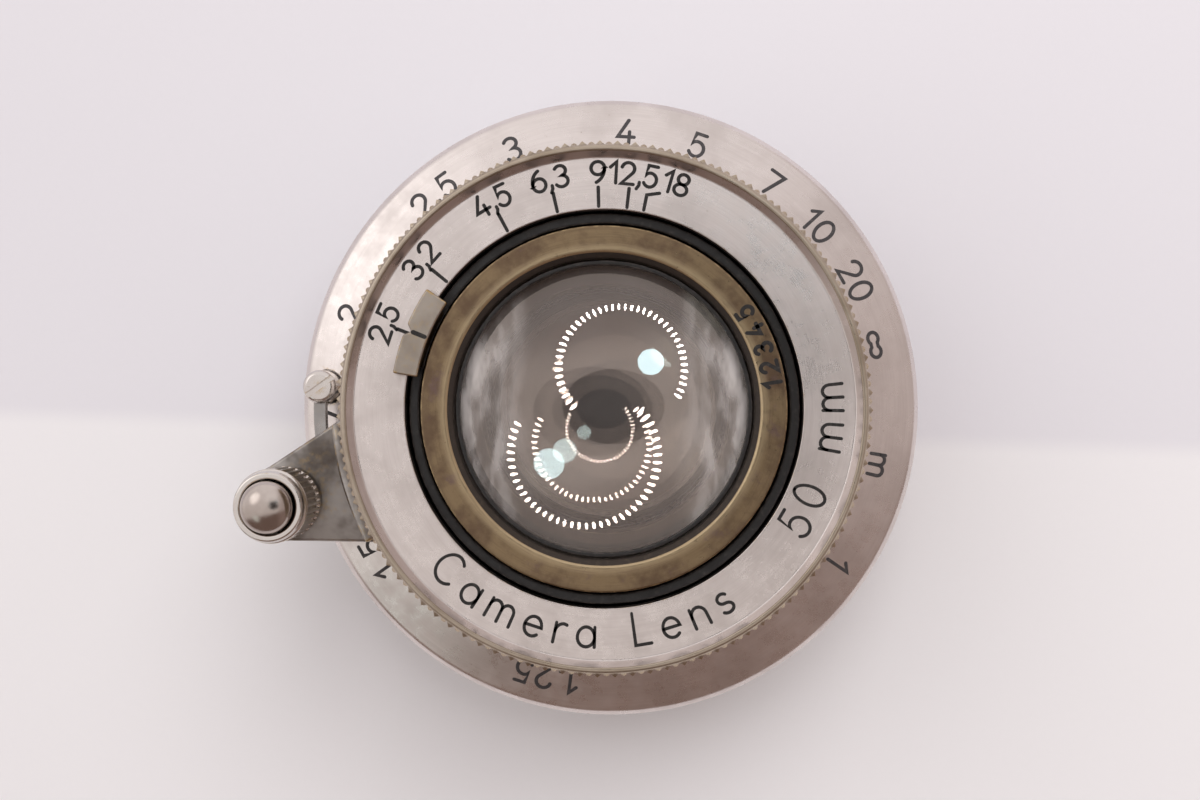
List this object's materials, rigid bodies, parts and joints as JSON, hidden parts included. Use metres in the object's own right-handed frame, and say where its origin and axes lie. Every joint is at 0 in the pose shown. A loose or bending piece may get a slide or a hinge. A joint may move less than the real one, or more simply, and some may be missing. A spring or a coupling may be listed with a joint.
{
  "type": "collapsible camera lens",
  "caption": "Collapsible nickel-plated screw-mount camera lens with a focusing lever, an infinity lock button, a winged aperture tab and a working iris.",
  "frame": {"origin": "on the lens axis, in the plane of the tube's rear rim on which the collapsed lens stands", "axes": "+Z along the lens axis out of the front; the focusing lever at infinity points along -X and -Y, at 225 degrees"},
  "size_m": [0.0488, 0.0488, 0.03],
  "materials": {
    "nickel_plate": "satin nickel plate with wear",
    "worn_nickel": "dull, worn nickel plate, brass at the edges",
    "bare_brass": "aged brass with brown patina",
    "steel": "bright turned",
    "black_lacquer": "semi-matt black",
    "blued_steel": "blued, matt",
    "felt": "dense felt",
    "lens_glass": "polished, uncoated"
  },
  "bodies": {
    "mount": {"mount_base": "nickel_plate", "distance_scale_ring": "nickel_plate", "infinity_catch": "nickel_plate", "scale_ring_screw_1": "steel", "scale_ring_screw_2": "steel", "scale_ring_screw_3": "steel"},
    "cam": {"rangefinder_cam_ring": "steel"},
    "focus": {"inner_helicoid": "bare_brass", "focus_collar": "nickel_plate", "collar_cover_ring": "nickel_plate", "focus_lever": "worn_nickel", "lever_screw_1": "steel", "lever_screw_2": "steel", "knob_sleeve": "nickel_plate", "button_spring": "steel"},
    "button": {"lock_button": "nickel_plate", "lock_finger": "steel"},
    "guide": {"barrel_guide_ring": "bare_brass", "felt_seal": "felt"},
    "barrel": {"barrel_tube": "nickel_plate", "bayonet_lug_ring": "bare_brass", "head_body": "nickel_plate", "front_scale_ring": "nickel_plate", "head_screw_1": "steel", "head_screw_2": "steel", "head_screw_3": "steel", "iris_base_plate": "black_lacquer", "front_cell": "bare_brass", "front_retaining_ring": "black_lacquer", "front_outer_element": "lens_glass", "front_inner_element": "lens_glass", "middle_cell": "black_lacquer", "middle_retaining_ring": "black_lacquer", "middle_front_element": "lens_glass", "middle_rear_element": "lens_glass", "rear_cell": "bare_brass", "rear_retaining_ring": "black_lacquer", "rear_inner_element": "lens_glass", "rear_outer_element": "lens_glass", "rear_light_baffle": "black_lacquer"},
    "aperture": {"aperture_ring": "black_lacquer", "aperture_tab": "worn_nickel", "drive_pin": "steel", "iris_rotor_plate": "blued_steel"},
    "iris_blade_1": {"iris_blade_1": "blued_steel"},
    "iris_blade_2": {"iris_blade_2": "blued_steel"},
    "iris_blade_3": {"iris_blade_3": "blued_steel"},
    "iris_blade_4": {"iris_blade_4": "blued_steel"},
    "iris_blade_5": {"iris_blade_5": "blued_steel"},
    "iris_blade_6": {"iris_blade_6": "blued_steel"},
    "iris_blade_7": {"iris_blade_7": "blued_steel"},
    "iris_blade_8": {"iris_blade_8": "blued_steel"}
  },
  "joints": [
    {"name": "focus_advance", "type": "slide", "parent": "mount", "child": "cam", "axis": [0, 0, 1], "range_m": [0, 0.00298]},
    {"name": "focus_turn", "type": "hinge", "parent": "cam", "child": "focus", "pos_m": [0, 0, 0.012], "axis": [0, 0, 1], "range_deg": [0, 311.6]},
    {"name": "button_press", "type": "slide", "parent": "focus", "child": "button", "axis": [0, 0, -1], "range_m": [0, 0.001], "stiffness_N_per_m": 300, "springref_m": -0.0005, "deforming": ["button_spring"]},
    {"name": "barrel_twist", "type": "hinge", "parent": "focus", "child": "guide", "pos_m": [0, 0, 0.012], "axis": [0, 0, -1], "range_deg": [0, 25]},
    {"name": "barrel_extend", "type": "slide", "parent": "guide", "child": "barrel", "axis": [0, 0, 1], "range_m": [0, 0.0135]},
    {"name": "aperture_turn", "type": "hinge", "parent": "barrel", "child": "aperture", "pos_m": [0, 0, 0.012], "axis": [0, 0, -1], "range_deg": [0, 80.3]},
    {"name": "blade_1_swing", "type": "hinge", "parent": "barrel", "child": "iris_blade_1", "pos_m": [0.0128, 0, 0.0191], "axis": [0, 0, -1], "range_deg": [0, 34]},
    {"name": "blade_2_swing", "type": "hinge", "parent": "barrel", "child": "iris_blade_2", "pos_m": [0.00905, 0.00905, 0.01937], "axis": [0, 0, -1], "range_deg": [0, 34]},
    {"name": "blade_3_swing", "type": "hinge", "parent": "barrel", "child": "iris_blade_3", "pos_m": [0, 0.0128, 0.01964], "axis": [0, 0, -1], "range_deg": [0, 34]},
    {"name": "blade_4_swing", "type": "hinge", "parent": "barrel", "child": "iris_blade_4", "pos_m": [-0.00905, 0.00905, 0.01991], "axis": [0, 0, -1], "range_deg": [0, 34]},
    {"name": "blade_5_swing", "type": "hinge", "parent": "barrel", "child": "iris_blade_5", "pos_m": [-0.0128, 0, 0.02018], "axis": [0, 0, -1], "range_deg": [0, 34]},
    {"name": "blade_6_swing", "type": "hinge", "parent": "barrel", "child": "iris_blade_6", "pos_m": [-0.00905, -0.00905, 0.02045], "axis": [0, 0, -1], "range_deg": [0, 34]},
    {"name": "blade_7_swing", "type": "hinge", "parent": "barrel", "child": "iris_blade_7", "pos_m": [0, -0.0128, 0.02072], "axis": [0, 0, -1], "range_deg": [0, 34]},
    {"name": "blade_8_swing", "type": "hinge", "parent": "barrel", "child": "iris_blade_8", "pos_m": [0.00905, -0.00905, 0.02099], "axis": [0, 0, -1], "range_deg": [0, 34]}
  ],
  "couplings": [
    {"joint": "focus_advance", "follows": "focus_turn", "m_per_rad": 0.00054749},
    {"joint": "blade_1_swing", "follows": "aperture_turn", "ratio": 0.41848},
    {"joint": "blade_2_swing", "follows": "aperture_turn", "ratio": 0.41848},
    {"joint": "blade_3_swing", "follows": "aperture_turn", "ratio": 0.41848},
    {"joint": "blade_4_swing", "follows": "aperture_turn", "ratio": 0.41848},
    {"joint": "blade_5_swing", "follows": "aperture_turn", "ratio": 0.41848},
    {"joint": "blade_6_swing", "follows": "aperture_turn", "ratio": 0.41848},
    {"joint": "blade_7_swing", "follows": "aperture_turn", "ratio": 0.41848},
    {"joint": "blade_8_swing", "follows": "aperture_turn", "ratio": 0.41848}
  ]
}
